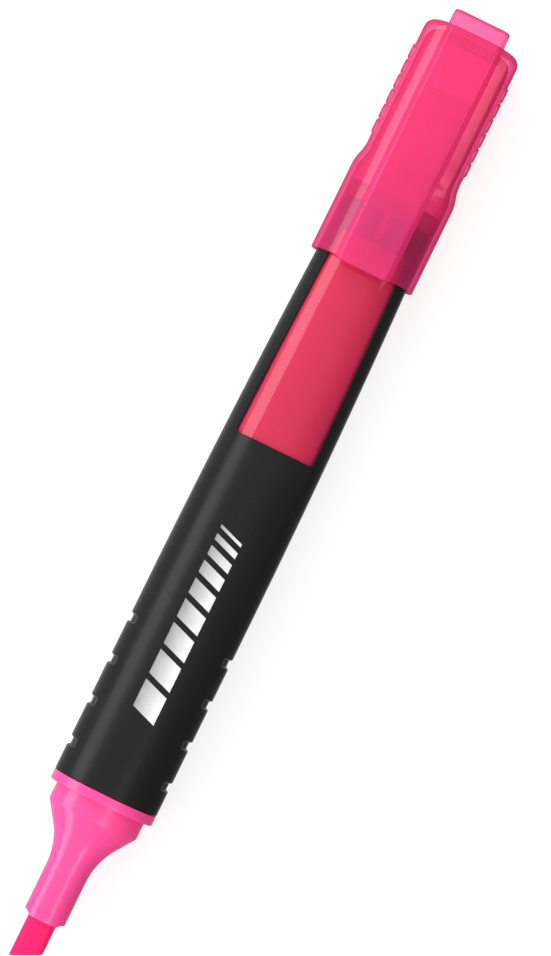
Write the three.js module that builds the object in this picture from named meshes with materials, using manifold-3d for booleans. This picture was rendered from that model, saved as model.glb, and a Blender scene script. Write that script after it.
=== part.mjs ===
// A liquid-ink highlighter with its cap posted on its tail: an oval barrel with an ink
// window in each wide face, a front section with a chisel nib, and a cap with a clip.
// Lengths are in millimetres. While the pen is drawn, +X runs from the nib to the tail,
// +Z is the clip side, and x = 0 is the front edge of the barrel, on the pen's axis. The
// exported group lays the pen on its back, with the origin under the middle of it.
import * as THREE from "three";
import { mergeVertices } from "three/addons/utils/BufferGeometryUtils.js";
import Module from "manifold-3d";

const manifold = await Module();
manifold.setup();

// Barrel: the outer oval, its taper to the tail, and the walls of its two shells.
const BODY_HALF_WIDTH = 8.75;
const BODY_HALF_THICKNESS = 6.75;
const OVAL_POWER = 2.4;
const BARREL_LENGTH = 100;
const TAPER_START = 32.3;
const TAIL_CORNER = 1;
const SLEEVE_WALL = 1;
const TANK_WALL = 1.1;
const TANK_END_WALL = 1.2;

// Ink window, cut through both wide faces, and the grip notches in the narrow sides.
const WINDOW_LENGTH = 35.7;
const WINDOW_TO_TAIL = 5;
const WINDOW_BORDER = 2;
const WINDOW_CORNER = 0.6;
const WINDOW_RECESS = 0.35;
const NOTCH_COUNT = 4;
const NOTCH_FIRST = 4.9;
const NOTCH_PITCH = 7.1;
const NOTCH_MOUTH = 1.7;
const NOTCH_FLOOR = 1;
const NOTCH_DEPTH = 0.45;
const NOTCH_HALF_HEIGHT = 4.4;

// Front section: flange, collar, flare, and the neck that holds the nib.
const FLANGE_LENGTH = 1.6;
const COLLAR_LENGTH = 2.9;
const FLARE_SLOPE = Math.tan(THREE.MathUtils.degToRad(34.5));
const FLARE_BLEND_REAR = 2.5;
const FLARE_BLEND_FRONT = 4.1;
const NECK_LENGTH = 7.6;
const NECK_WALL = 0.85;
const LIP_LENGTH = 0.6;
const LIP_HALF_WIDTH = 2.4;
const SPIGOT_LENGTH = 8;
const SPIGOT_WALL = 1.3;
const SEAL_WIDTH = 1.2;
const SEAL_DEPTH = 0.6;
const SEAL_PLACE = 4.2;

// Nib and ink feed.
const NIB_HALF_WIDTH = 2.44;
const NIB_HALF_THICKNESS = 1.75;
const NIB_EDGE_HALF_THICKNESS = 0.8;
const NIB_REACH = 7.2;
const NIB_WEDGE = 5.2;
const NIB_SHANK = 13.7;
const NIB_CUT_SLOPE = Math.tan(THREE.MathUtils.degToRad(26));
const ROD_RADIUS = 1.15;
const ROD_DIP = 6.5;
const FIN_COUNT = 8;
const FIN_PITCH = 2.2;
const FIN_THICKNESS = 0.8;
const FIN_DEPTH = 1.3;
const BUNG_LENGTH = 3.6;

// Cap, measured from its mouth, with the liner that seals the nib.
const CAP_LENGTH = 40.5;
const CAP_WALL = 0.88;
const CAP_END_WALL = 1.2;
const CAP_COLLAR = 15.35;
const CAP_STEP = 2.2;
const CAP_STEP_DEPTH = 0.71;
const CAP_CORNER = 3.2;
const POSTED_DEPTH = 9.35;
const RIB_COUNT = 6;
const RIB_FIRST = 20.3;
const RIB_PITCH = 2.6;
const RIB_LENGTH = 2.1;
const RIB_HEIGHT = 0.25;
const RIB_HALF_HEIGHT = 3.2;
const LINER_FLANGE = 2.65;
const LINER_WALL = 0.8;
const LINER_LEAD_IN = 1.2;
const LINER_AIR = 2;

// Clip: a flat bar over the cap, joined to it at a heel that ends in a tab.
const CLIP_HALF_WIDTH = 4.74;
const CLIP_THICKNESS = 1.5;
const CLIP_BEVEL = 0.8;
const CLIP_STAND_OFF = 0.75;
const CLIP_OVERHANG = 0.65;
const CLIP_CORNER = 0.6;
const HEEL_LENGTH = 3;
const TAB_OVERHANG = 2;
const TAB_FALL = 0.6;
const TAB_CHAMFER = 1;
const NUB_START = 5.4;
const NUB_LENGTH = 4;
const NUB_HALF_WIDTH = 0.55;

// Clearances between pieces that fit together.
const MOULD_GAP = 0.2;
const SLIP_GAP = 0.25;
const SEAM_GAP = 0.12;
const NIB_GAP = 0.15;
const POST_GAP = 0.12;
const COLLAR_GAP = 0.32;
const HINGE_GAP = 0.3;
const NUB_GAP = 0.25;

// Facets round an oval. A flat facet is centred on each of the four sides.
const FACETS = 32;
const HIDDEN_FACETS = 20;
const TAPER_STEPS = 4;
const CORNER_STEPS = 4;
const FLARE_STEPS = 4;

// Places along the pen that follow from the sizes above.
const neckHalfWidth = NIB_HALF_WIDTH + NIB_GAP + NECK_WALL;
const neckHalfThickness = NIB_HALF_THICKNESS + NIB_GAP + NECK_WALL;
const collarInset = CAP_WALL + COLLAR_GAP;
const collarHalfWidth = BODY_HALF_WIDTH - collarInset;
const collarHalfThickness = BODY_HALF_THICKNESS - collarInset;
const flangeBack = -SEAM_GAP;
const flangeFront = flangeBack - FLANGE_LENGTH;
const collarFront = flangeFront - COLLAR_LENGTH;
const flareCorner = collarFront - (collarHalfWidth - neckHalfWidth) / FLARE_SLOPE;
const neckBack = flareCorner - FLARE_BLEND_FRONT;
const neckFront = neckBack - NECK_LENGTH;
const nibTip = neckFront - NIB_REACH;
const nibBack = neckFront + NIB_SHANK;
const tankInset = SLEEVE_WALL + MOULD_GAP;
const boreInset = tankInset + TANK_WALL;
const feedFront = flangeFront - 1;
const finsStart = SPIGOT_LENGTH + SLIP_GAP + FIN_THICKNESS;
const feedBack = finsStart + (FIN_COUNT - 1) * FIN_PITCH + FIN_THICKNESS;
const bungFront = feedBack + SLIP_GAP;
const inkFront = bungFront + BUNG_LENGTH + SLIP_GAP;
const windowEnd = BARREL_LENGTH - WINDOW_TO_TAIL;
const windowStart = windowEnd - WINDOW_LENGTH;
const tankEnd = windowEnd + WINDOW_CORNER + TANK_END_WALL;
const capMouth = BARREL_LENGTH - POSTED_DEPTH;
const tabEnd = CAP_LENGTH + TAB_OVERHANG;
const clipTop = BODY_HALF_THICKNESS + CLIP_STAND_OFF + CLIP_THICKNESS;
const clipRoot = CAP_LENGTH - HEEL_LENGTH;

// The tail is as slim as the cap's mouth needs it to be where the mouth comes to rest.
const mouthTaper = ((capMouth - TAPER_START) / (BARREL_LENGTH - TAPER_START)) ** 2;
const tailInset = (CAP_WALL + POST_GAP) / mouthTaper;

// A section of an oval piece: where it is, and half of its width and of its thickness.
function section(x, halfWidth, halfThickness) {
  return { x, halfWidth, halfThickness };
}

// The body's own oval, made smaller all round by inset.
function bodySection(x, inset) {
  return section(x, BODY_HALF_WIDTH - inset, BODY_HALF_THICKNESS - inset);
}

// How far the tapered barrel has drawn in at x.
function taperAt(x) {
  const share = Math.max(0, x - TAPER_START) / (BARREL_LENGTH - TAPER_START);
  return tailInset * share ** 2;
}

function barrelSection(x, inset) {
  return bodySection(x, taperAt(x) + inset);
}

// Sections from x = start to x = end that follow the barrel's taper, at a fixed inset.
function barrelRun(start, end, inset) {
  const bend = Math.min(Math.max(start, TAPER_START), end);
  const places = start < bend ? [start] : [];
  for (let i = 0; i <= TAPER_STEPS; i++) {
    places.push(bend + ((end - bend) * i) / TAPER_STEPS);
  }
  return places.map((x) => barrelSection(x, inset));
}

// The centre of an oval piece's closed end.
function axisPoint(x) {
  return section(x, 0, 0);
}

// A closed three.js geometry as a manifold solid.
function solidOf(geometry) {
  geometry.deleteAttribute("normal");
  geometry.deleteAttribute("uv");
  const merged = mergeVertices(geometry, 1e-4);
  const mesh = new manifold.Mesh({
    numProp: 3,
    vertProperties: merged.getAttribute("position").array,
    triVerts: new Uint32Array(merged.index.array),
  });
  return new manifold.Manifold(mesh);
}

// One ordinate of a superellipse, scaled so that its flat facets touch the true size.
function ovalOrdinate(value, facets) {
  const reach = Math.cos(Math.PI / facets);
  return Math.sign(value) * Math.abs(value / reach) ** (2 / OVAL_POWER);
}

// A lathe whose rings are squeezed from circles to the ovals of the sections. Outside
// sections run towards +X, and a hollow's come back towards -X.
function ovalSolid(sections, facets = FACETS) {
  const profile = sections.map((s) => new THREE.Vector2(s.halfWidth, s.x));
  const geometry = new THREE.LatheGeometry(profile, facets);
  const position = geometry.getAttribute("position");
  for (let turn = 0; turn <= facets; turn++) {
    const angle = (((turn % facets) + 0.5) * 2 * Math.PI) / facets;
    const across = ovalOrdinate(Math.cos(angle), facets);
    const up = ovalOrdinate(Math.sin(angle), facets);
    sections.forEach((s, i) => {
      const vertex = turn * sections.length + i;
      position.setXYZ(vertex, s.x, s.halfWidth * across, s.halfThickness * up);
    });
  }
  return solidOf(geometry);
}

// A ring-shaped oval piece: its profile closes on itself.
function ovalRing(sections, facets) {
  return ovalSolid([...sections, sections[0]], facets);
}

function boxSolid(lowX, highX, lowY, highY, lowZ, highZ) {
  const box = new THREE.BoxGeometry(highX - lowX, highY - lowY, highZ - lowZ);
  box.translate((lowX + highX) / 2, (lowY + highY) / 2, (lowZ + highZ) / 2);
  return solidOf(box);
}

function roundRod(start, end, radius) {
  const rod = new THREE.CylinderGeometry(radius, radius, end - start, HIDDEN_FACETS);
  rod.rotateZ(Math.PI / 2);
  rod.translate((start + end) / 2, 0, 0);
  return solidOf(rod);
}

function outline(points) {
  return new THREE.Shape(points.map(([x, y]) => new THREE.Vector2(x, y)));
}

// A plan shape in X and Y, pulled up from lowZ to highZ.
function planSolid(shape, lowZ, highZ, curveSegments = 3) {
  const options = { depth: highZ - lowZ, bevelEnabled: false, curveSegments };
  const geometry = new THREE.ExtrudeGeometry(shape, options);
  geometry.translate(0, 0, lowZ);
  return solidOf(geometry);
}

// A side shape in X and Z, pulled out to halfWidth on both sides of the pen's axis.
function sideSolid(shape, halfWidth) {
  const options = { depth: 2 * halfWidth, bevelEnabled: false };
  const geometry = new THREE.ExtrudeGeometry(shape, options);
  geometry.rotateX(Math.PI / 2);
  geometry.translate(0, halfWidth, 0);
  return solidOf(geometry);
}

function material(color, roughness, opacity = 1) {
  const options = { color, roughness, metalness: 0, opacity };
  return new THREE.MeshStandardMaterial({ ...options, transparent: opacity < 1 });
}

function addPiece(group, name, solid, finish) {
  const made = solid.getMesh();
  const geometry = new THREE.BufferGeometry();
  geometry.setAttribute("position", new THREE.BufferAttribute(made.vertProperties, 3));
  geometry.setIndex(new THREE.BufferAttribute(made.triVerts, 1));
  geometry.computeVertexNormals();
  const mesh = new THREE.Mesh(geometry, finish);
  mesh.name = name;
  group.add(mesh);
}

// The window's outline in plan: its long edges keep the same border to the barrel's side.
function windowShape(gap) {
  const start = windowStart + gap;
  const end = windowEnd - gap;
  const halfAt = (x) => BODY_HALF_WIDTH - taperAt(x) - WINDOW_BORDER - gap;
  const middle = (start + end) / 2;
  const shape = new THREE.Shape();
  shape.moveTo(start, -halfAt(start) + WINDOW_CORNER);
  shape.quadraticCurveTo(start, -halfAt(start), start + WINDOW_CORNER, -halfAt(start));
  shape.lineTo(middle, -halfAt(middle));
  shape.lineTo(end - WINDOW_CORNER, -halfAt(end));
  shape.quadraticCurveTo(end, -halfAt(end), end, -halfAt(end) + WINDOW_CORNER);
  shape.lineTo(end, halfAt(end) - WINDOW_CORNER);
  shape.quadraticCurveTo(end, halfAt(end), end - WINDOW_CORNER, halfAt(end));
  shape.lineTo(middle, halfAt(middle));
  shape.lineTo(start + WINDOW_CORNER, halfAt(start));
  shape.quadraticCurveTo(start, halfAt(start), start, halfAt(start) - WINDOW_CORNER);
  shape.closePath();
  return shape;
}

// One grip notch: a wedge-sided slot in both narrow sides, down to the notch's floor.
function gripNotch(x) {
  const outer = BODY_HALF_WIDTH + 1;
  const floor = BODY_HALF_WIDTH - NOTCH_DEPTH;
  const flank = (NOTCH_MOUTH - NOTCH_FLOOR) / 2 / NOTCH_DEPTH;
  const wide = NOTCH_FLOOR / 2 + flank * (outer - floor);
  const wedge = outline([
    [x - wide, -outer],
    [x + wide, -outer],
    [x + NOTCH_FLOOR / 2, -floor],
    [x + NOTCH_FLOOR / 2, floor],
    [x + wide, outer],
    [x - wide, outer],
    [x - NOTCH_FLOOR / 2, floor],
    [x - NOTCH_FLOOR / 2, -floor],
  ]);
  const core = ovalSolid([
    axisPoint(x - 2 * wide),
    bodySection(x - 2 * wide, NOTCH_DEPTH),
    bodySection(x + 2 * wide, NOTCH_DEPTH),
    axisPoint(x + 2 * wide),
  ]);
  return planSolid(wedge, -NOTCH_HALF_HEIGHT, NOTCH_HALF_HEIGHT).subtract(core);
}

// Black outer sleeve, moulded over the clear tank, with its tail corner rounded.
function barrelSleeve() {
  const straightEnd = BARREL_LENGTH - TAIL_CORNER;
  let sleeve = ovalRing([
    ...barrelRun(0, straightEnd, 0),
    barrelSection(BARREL_LENGTH - 0.3 * TAIL_CORNER, 0.3 * TAIL_CORNER),
    barrelSection(BARREL_LENGTH, 0.8 * TAIL_CORNER),
    ...barrelRun(0, BARREL_LENGTH, SLEEVE_WALL).reverse(),
  ]);
  const reach = 2 * BODY_HALF_THICKNESS;
  sleeve = sleeve.subtract(planSolid(windowShape(0), -reach, reach));
  for (let i = 0; i < NOTCH_COUNT; i++) {
    sleeve = sleeve.subtract(gripNotch(NOTCH_FIRST + i * NOTCH_PITCH));
  }
  return sleeve;
}

// Clear tank, open at the front, with a pad that fills each window.
function inkTank() {
  const skin = ovalSolid([
    axisPoint(0),
    ...barrelRun(0, tankEnd, tankInset),
    axisPoint(tankEnd),
  ]);
  const face = ovalSolid([
    axisPoint(0),
    ...barrelRun(0, tankEnd, WINDOW_RECESS),
    axisPoint(tankEnd),
  ]);
  const reach = 2 * BODY_HALF_THICKNESS;
  const pads = planSolid(windowShape(MOULD_GAP), -reach, reach).intersect(face);
  const hollow = ovalSolid([
    axisPoint(-1),
    bodySection(-1, boreInset),
    ...barrelRun(0, tankEnd - TANK_END_WALL, boreInset),
    axisPoint(tankEnd - TANK_END_WALL),
  ]);
  return skin.add(pads).subtract(hollow);
}

// The ink itself, with the hollow that the feed rod's end takes in it.
function inkCharge() {
  const inset = boreInset + SLIP_GAP;
  const end = tankEnd - TANK_END_WALL - SLIP_GAP;
  const body = ovalSolid([
    axisPoint(inkFront),
    ...barrelRun(inkFront, end, inset),
    axisPoint(end),
  ]);
  return body.subtract(roundRod(inkFront - 1, inkFront + ROD_DIP, ROD_RADIUS + SLIP_GAP));
}

// Cup-shaped plug that closes the sleeve behind the tank.
function tailPlug() {
  const front = tankEnd + SLIP_GAP;
  const inset = SLEEVE_WALL + SLIP_GAP;
  const floor = BARREL_LENGTH - SLEEVE_WALL;
  return ovalSolid([
    axisPoint(floor),
    barrelSection(floor, inset + SLEEVE_WALL),
    barrelSection(front, inset + SLEEVE_WALL),
    barrelSection(front, inset),
    barrelSection(BARREL_LENGTH, inset),
    axisPoint(BARREL_LENGTH),
  ]);
}

// A section on the flare: share is 1 at the collar's size and 0 at the neck's.
function flareSection(x, halfWidth) {
  const share = (halfWidth - neckHalfWidth) / (collarHalfWidth - neckHalfWidth);
  const gain = share * (collarHalfThickness - neckHalfThickness);
  return section(x, halfWidth, neckHalfThickness + gain);
}

// The flare's foot: a hollow curve that leaves the neck level and meets the cone.
function flareFoot() {
  const coneWidth = neckHalfWidth + FLARE_BLEND_REAR * FLARE_SLOPE;
  const curve = new THREE.QuadraticBezierCurve(
    new THREE.Vector2(neckBack, neckHalfWidth),
    new THREE.Vector2(flareCorner, neckHalfWidth),
    new THREE.Vector2(flareCorner + FLARE_BLEND_REAR, coneWidth),
  );
  return curve.getPoints(FLARE_STEPS).map((p) => flareSection(p.x, p.y));
}

// Front section: spigot into the tank, flange on the barrel, and the neck round the nib.
function frontSection() {
  const spigot = boreInset + SLIP_GAP;
  const inside = spigot + SPIGOT_WALL;
  const nibWay = NIB_GAP + NIB_HALF_WIDTH;
  const nibWayUp = NIB_GAP + NIB_HALF_THICKNESS;
  let piece = ovalRing([
    section(neckFront, neckHalfWidth, neckHalfThickness),
    ...flareFoot(),
    section(collarFront, collarHalfWidth, collarHalfThickness),
    section(flangeFront, collarHalfWidth, collarHalfThickness),
    bodySection(flangeFront, 0),
    bodySection(flangeBack, 0),
    bodySection(flangeBack, spigot),
    bodySection(SEAL_PLACE - NIB_GAP, spigot),
    bodySection(SEAL_PLACE - NIB_GAP, spigot + SEAL_DEPTH),
    bodySection(SEAL_PLACE + SEAL_WIDTH + NIB_GAP, spigot + SEAL_DEPTH),
    bodySection(SEAL_PLACE + SEAL_WIDTH + NIB_GAP, spigot),
    bodySection(SPIGOT_LENGTH, spigot),
    bodySection(SPIGOT_LENGTH, inside),
    bodySection(feedFront - SLIP_GAP, inside),
    section(flareCorner + 1, nibWay, nibWayUp),
    section(neckFront, nibWay, nibWayUp),
  ]);
  const past = neckFront - 1;
  const step = neckFront + LIP_LENGTH;
  const side = 2 * neckHalfWidth;
  piece = piece.subtract(boxSolid(past, step, LIP_HALF_WIDTH, side, -side, side));
  return piece.subtract(boxSolid(past, step, -side, -LIP_HALF_WIDTH, -side, side));
}

// Rubber ring in the spigot's groove.
function sectionSeal() {
  const outer = boreInset + NIB_GAP;
  const inner = boreInset + SLIP_GAP + SEAL_DEPTH - NIB_GAP;
  return ovalRing([
    bodySection(SEAL_PLACE, outer),
    bodySection(SEAL_PLACE + SEAL_WIDTH, outer),
    bodySection(SEAL_PLACE + SEAL_WIDTH, inner),
    bodySection(SEAL_PLACE, inner),
  ]);
}

// Porous nib: an oval bar with a slanted end, thinned from both wide faces to a wedge.
function chiselNib() {
  const bar = ovalSolid([
    axisPoint(nibTip - 1),
    section(nibTip - 1, NIB_HALF_WIDTH, NIB_HALF_THICKNESS),
    section(nibBack, NIB_HALF_WIDTH, NIB_HALF_THICKNESS),
    axisPoint(nibBack),
  ]);
  const shortTip = nibTip + 2 * NIB_HALF_WIDTH * NIB_CUT_SLOPE;
  const plan = outline([
    [nibBack, -NIB_HALF_WIDTH],
    [nibBack, NIB_HALF_WIDTH],
    [nibTip, NIB_HALF_WIDTH],
    [shortTip, -NIB_HALF_WIDTH],
  ]);
  const side = outline([
    [nibBack, -NIB_HALF_THICKNESS],
    [nibBack, NIB_HALF_THICKNESS],
    [nibTip + NIB_WEDGE, NIB_HALF_THICKNESS],
    [nibTip, NIB_EDGE_HALF_THICKNESS],
    [nibTip, -NIB_EDGE_HALF_THICKNESS],
    [nibTip + NIB_WEDGE, -NIB_HALF_THICKNESS],
  ]);
  const reach = 2 * NIB_HALF_THICKNESS;
  const slanted = bar.intersect(planSolid(plan, -reach, reach));
  return slanted.intersect(sideSolid(side, 2 * NIB_HALF_WIDTH));
}

// Finned feed that holds the ink between tank and nib: a nose in the section, then fins.
function inkCollector() {
  const nose = boreInset + SLIP_GAP + SPIGOT_WALL + SLIP_GAP;
  const fin = boreInset + SLIP_GAP;
  const sections = [axisPoint(feedFront), bodySection(feedFront, nose)];
  for (let i = 0; i < FIN_COUNT; i++) {
    const start = finsStart + i * FIN_PITCH;
    const root = i ? fin + FIN_DEPTH : nose;
    sections.push(
      bodySection(start, root),
      bodySection(start, fin),
      bodySection(start + FIN_THICKNESS, fin),
      bodySection(start + FIN_THICKNESS, fin + FIN_DEPTH),
    );
  }
  sections.pop();
  sections.push(axisPoint(feedBack));
  const way = roundRod(feedFront - 1, feedBack + 1, ROD_RADIUS + NIB_GAP);
  return ovalSolid(sections, HIDDEN_FACETS).subtract(way);
}

// Bung that shuts the tank behind the feed, with a hole for the rod.
function reservoirBung() {
  const body = ovalSolid([
    axisPoint(bungFront),
    bodySection(bungFront, boreInset + SLIP_GAP),
    bodySection(bungFront + BUNG_LENGTH, boreInset + SLIP_GAP),
    axisPoint(bungFront + BUNG_LENGTH),
  ]);
  const way = roundRod(bungFront - 1, inkFront, ROD_RADIUS + NIB_GAP);
  return body.subtract(way);
}

// Sections of the rounded closed end of a cap that is inset from the body's oval.
function capEnd(end, radius, inset) {
  const sections = [];
  for (let i = 0; i <= CORNER_STEPS; i++) {
    const angle = (i / CORNER_STEPS) * (Math.PI / 2);
    const draw = inset + radius * (1 - Math.cos(angle));
    sections.push(bodySection(end - radius * (1 - Math.sin(angle)), draw));
  }
  return sections;
}

// The heel that carries the clip, rising from the cap's closed end, with its tab.
function clipHeel() {
  const root = BODY_HALF_THICKNESS - CAP_STEP_DEPTH - CAP_WALL / 2;
  const shape = outline([
    [clipRoot, root],
    [CAP_LENGTH - CAP_CORNER / 2, root - CAP_CORNER / 2],
    [tabEnd, root - CAP_CORNER / 2],
    [tabEnd, clipTop - TAB_FALL - TAB_CHAMFER],
    [tabEnd - TAB_CHAMFER, clipTop - TAB_FALL],
    [clipRoot, clipTop],
  ]);
  return sideSolid(shape, CLIP_HALF_WIDTH).intersect(clipBevels(clipRoot, tabEnd));
}

// The clip's cross-section, bevelled along both upper edges, as a bar from start to end.
function clipBevels(start, end) {
  const edge = CLIP_HALF_WIDTH - CLIP_BEVEL;
  const shape = outline([
    [-CLIP_HALF_WIDTH, 0],
    [CLIP_HALF_WIDTH, 0],
    [CLIP_HALF_WIDTH, clipTop - CLIP_BEVEL],
    [edge, clipTop],
    [-edge, clipTop],
    [-CLIP_HALF_WIDTH, clipTop - CLIP_BEVEL],
  ]);
  const options = { depth: end - start, bevelEnabled: false };
  const geometry = new THREE.ExtrudeGeometry(shape, options);
  geometry.rotateX(Math.PI / 2);
  geometry.rotateZ(Math.PI / 2);
  geometry.translate(start, 0, 0);
  return solidOf(geometry);
}

// One pair of ribs on the cap's narrow sides.
function capRib(start) {
  const height = CAP_STEP_DEPTH - RIB_HEIGHT;
  const end = start + RIB_LENGTH;
  const band = ovalSolid([
    axisPoint(start),
    bodySection(start, CAP_STEP_DEPTH),
    bodySection(start + RIB_HEIGHT, height),
    bodySection(end - RIB_HEIGHT, height),
    bodySection(end, CAP_STEP_DEPTH),
    axisPoint(end),
  ]);
  const side = 2 * BODY_HALF_WIDTH;
  const limit = boxSolid(start - 1, end + 1, -side, side, -RIB_HALF_HEIGHT, RIB_HALF_HEIGHT);
  return band.intersect(limit);
}

// Cap shell: a wide collar, a hollow step to a slimmer body, ribs and the clip's heel.
function capShell() {
  const stepEnd = CAP_COLLAR + CAP_STEP;
  const bodyInset = CAP_STEP_DEPTH + CAP_WALL;
  let shell = ovalSolid([
    axisPoint(0),
    bodySection(0, 0),
    bodySection(CAP_COLLAR, 0),
    bodySection(CAP_COLLAR + CAP_STEP / 3, CAP_STEP_DEPTH / 2),
    bodySection(stepEnd, CAP_STEP_DEPTH),
    ...capEnd(CAP_LENGTH, CAP_CORNER, CAP_STEP_DEPTH),
    axisPoint(CAP_LENGTH),
  ]);
  shell = shell.add(clipHeel());
  for (let i = 0; i < RIB_COUNT; i++) {
    shell = shell.add(capRib(RIB_FIRST + i * RIB_PITCH));
  }
  const hollow = ovalSolid([
    axisPoint(-1),
    bodySection(-1, CAP_WALL),
    bodySection(CAP_COLLAR - CAP_WALL, CAP_WALL),
    bodySection(stepEnd - CAP_WALL, bodyInset),
    ...capEnd(CAP_LENGTH - CAP_END_WALL, CAP_CORNER - CAP_WALL, bodyInset),
    axisPoint(CAP_LENGTH - CAP_END_WALL),
  ]);
  return shell.subtract(hollow);
}

// Inner cap: a flange across the cap and a closed tube that takes the neck and nib.
function capLiner() {
  const face = POSTED_DEPTH + SLIP_GAP;
  const back = face + LINER_FLANGE;
  const boreWidth = neckHalfWidth + NIB_GAP;
  const boreThickness = neckHalfThickness + NIB_GAP;
  const nibDepth = flangeFront - nibTip;
  const boreEnd = nibDepth + LINER_AIR;
  const tubeWidth = boreWidth + LINER_WALL;
  const tubeThickness = boreThickness + LINER_WALL;
  const lead = LINER_WALL / 2;
  return ovalSolid([
    axisPoint(boreEnd),
    section(boreEnd, boreWidth, boreThickness),
    section(face + LINER_LEAD_IN, boreWidth, boreThickness),
    section(face, boreWidth + lead, boreThickness + lead),
    bodySection(face, CAP_WALL + SLIP_GAP),
    bodySection(back, CAP_WALL + SLIP_GAP),
    section(back, tubeWidth, tubeThickness),
    section(boreEnd + LINER_WALL, tubeWidth, tubeThickness),
    axisPoint(boreEnd + LINER_WALL),
  ]);
}

// Clip arm: a bevelled bar with rounded corners at its free end and a nub beneath.
function pocketClip() {
  const free = -CLIP_OVERHANG;
  const root = clipRoot - HINGE_GAP;
  const under = clipTop - CLIP_THICKNESS;
  const plan = outline([
    [root, CLIP_HALF_WIDTH],
    [free + CLIP_CORNER, CLIP_HALF_WIDTH],
    [free, CLIP_HALF_WIDTH - CLIP_CORNER],
    [free, CLIP_CORNER - CLIP_HALF_WIDTH],
    [free + CLIP_CORNER, -CLIP_HALF_WIDTH],
    [root, -CLIP_HALF_WIDTH],
  ]);
  const bar = planSolid(plan, under, clipTop).intersect(clipBevels(free, root));
  const nubEnd = NUB_START + NUB_LENGTH;
  const foot = BODY_HALF_THICKNESS + NUB_GAP;
  const slope = under - foot;
  const nub = sideSolid(
    outline([
      [NUB_START - slope, under + CLIP_BEVEL / 2],
      [NUB_START, foot],
      [nubEnd, foot],
      [nubEnd + slope, under + CLIP_BEVEL / 2],
    ]),
    NUB_HALF_WIDTH,
  );
  return bar.add(nub);
}

// Finishes: black and tinted mouldings, clear tank, ink, porous fibre and soft seals.
const black = material(0x1b1b1c, 0.42);
const pink = material(0xff4f9a, 0.28);
const tintedClear = material(0xf5356f, 0.2, 0.75);
const clear = material(0xf2f2f2, 0.05, 0.3);
const ink = material(0xd8304f, 0.1, 0.9);
const white = material(0xe8e8e4, 0.5);
const fibre = material(0xf7e9ee, 0.95);
const inkedFibre = material(0xf72a72, 0.9);
const rubber = material(0x2b2b2d, 0.8);

// The pen lies on its back with the cap posted: the cap's own group can slide off, and
// the clip's group within it turns at the root of the arm.
const pen = new THREE.Group();
pen.position.set(-(nibTip + capMouth + tabEnd) / 2, 0, BODY_HALF_THICKNESS);

const barrel = new THREE.Group();
pen.add(barrel);
addPiece(barrel, "barrel_sleeve", barrelSleeve(), black);
addPiece(barrel, "ink_tank", inkTank(), clear);
addPiece(barrel, "ink_charge", inkCharge(), ink);
addPiece(barrel, "tail_plug", tailPlug(), black);
addPiece(barrel, "front_section", frontSection(), pink);
addPiece(barrel, "section_seal", sectionSeal(), rubber);
addPiece(barrel, "chisel_nib", chiselNib(), inkedFibre);
addPiece(barrel, "ink_collector", inkCollector(), white);
addPiece(barrel, "reservoir_bung", reservoirBung(), rubber);
const rod = roundRod(nibBack + SLIP_GAP, inkFront + ROD_DIP - SLIP_GAP, ROD_RADIUS);
addPiece(barrel, "feed_rod", rod, fibre);

const cap = new THREE.Group();
cap.position.x = capMouth;
pen.add(cap);
addPiece(cap, "cap_shell", capShell(), tintedClear);
addPiece(cap, "cap_liner", capLiner(), pink);

const clip = new THREE.Group();
cap.add(clip);
addPiece(clip, "pocket_clip", pocketClip(), tintedClear);

export default pen;
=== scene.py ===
import math

import bmesh
import bpy
import numpy as np
from mathutils import Matrix, Vector


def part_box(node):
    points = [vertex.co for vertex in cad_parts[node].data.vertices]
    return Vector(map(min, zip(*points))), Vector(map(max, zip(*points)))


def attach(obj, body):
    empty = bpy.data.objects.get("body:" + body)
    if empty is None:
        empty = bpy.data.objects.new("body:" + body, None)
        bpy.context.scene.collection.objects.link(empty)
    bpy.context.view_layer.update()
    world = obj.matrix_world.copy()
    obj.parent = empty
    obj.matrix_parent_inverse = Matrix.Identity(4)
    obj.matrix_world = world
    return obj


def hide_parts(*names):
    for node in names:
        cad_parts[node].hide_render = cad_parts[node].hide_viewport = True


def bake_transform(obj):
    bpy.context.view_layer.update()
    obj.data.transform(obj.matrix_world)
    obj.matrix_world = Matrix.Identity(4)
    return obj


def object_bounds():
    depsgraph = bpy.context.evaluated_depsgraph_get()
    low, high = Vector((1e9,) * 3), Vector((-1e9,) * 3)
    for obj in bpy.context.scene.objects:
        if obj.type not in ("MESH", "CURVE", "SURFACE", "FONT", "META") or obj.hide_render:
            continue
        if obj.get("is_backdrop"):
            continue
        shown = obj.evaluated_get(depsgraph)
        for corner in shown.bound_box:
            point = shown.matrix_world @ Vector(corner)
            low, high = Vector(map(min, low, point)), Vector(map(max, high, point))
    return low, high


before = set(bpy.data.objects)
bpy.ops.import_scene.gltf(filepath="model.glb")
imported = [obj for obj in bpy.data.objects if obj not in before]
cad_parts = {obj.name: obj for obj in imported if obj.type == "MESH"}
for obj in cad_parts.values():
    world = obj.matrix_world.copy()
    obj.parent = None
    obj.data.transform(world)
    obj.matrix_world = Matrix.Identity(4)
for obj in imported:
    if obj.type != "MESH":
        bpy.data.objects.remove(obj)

cad_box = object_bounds()


# ---- Black sleeve ----------------------------------------------------------------------
# The outer barrel is an oval tube of black polypropylene, moulded over the clear tank. Its
# satin skin is broken by grip notches in both narrow sides and a window in each wide face.
# Lengths are in millimetres from the sleeve's front edge, on the pen's axis.

MM = 0.001
OVAL_POWER = 2.4
AROUND = 224

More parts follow.
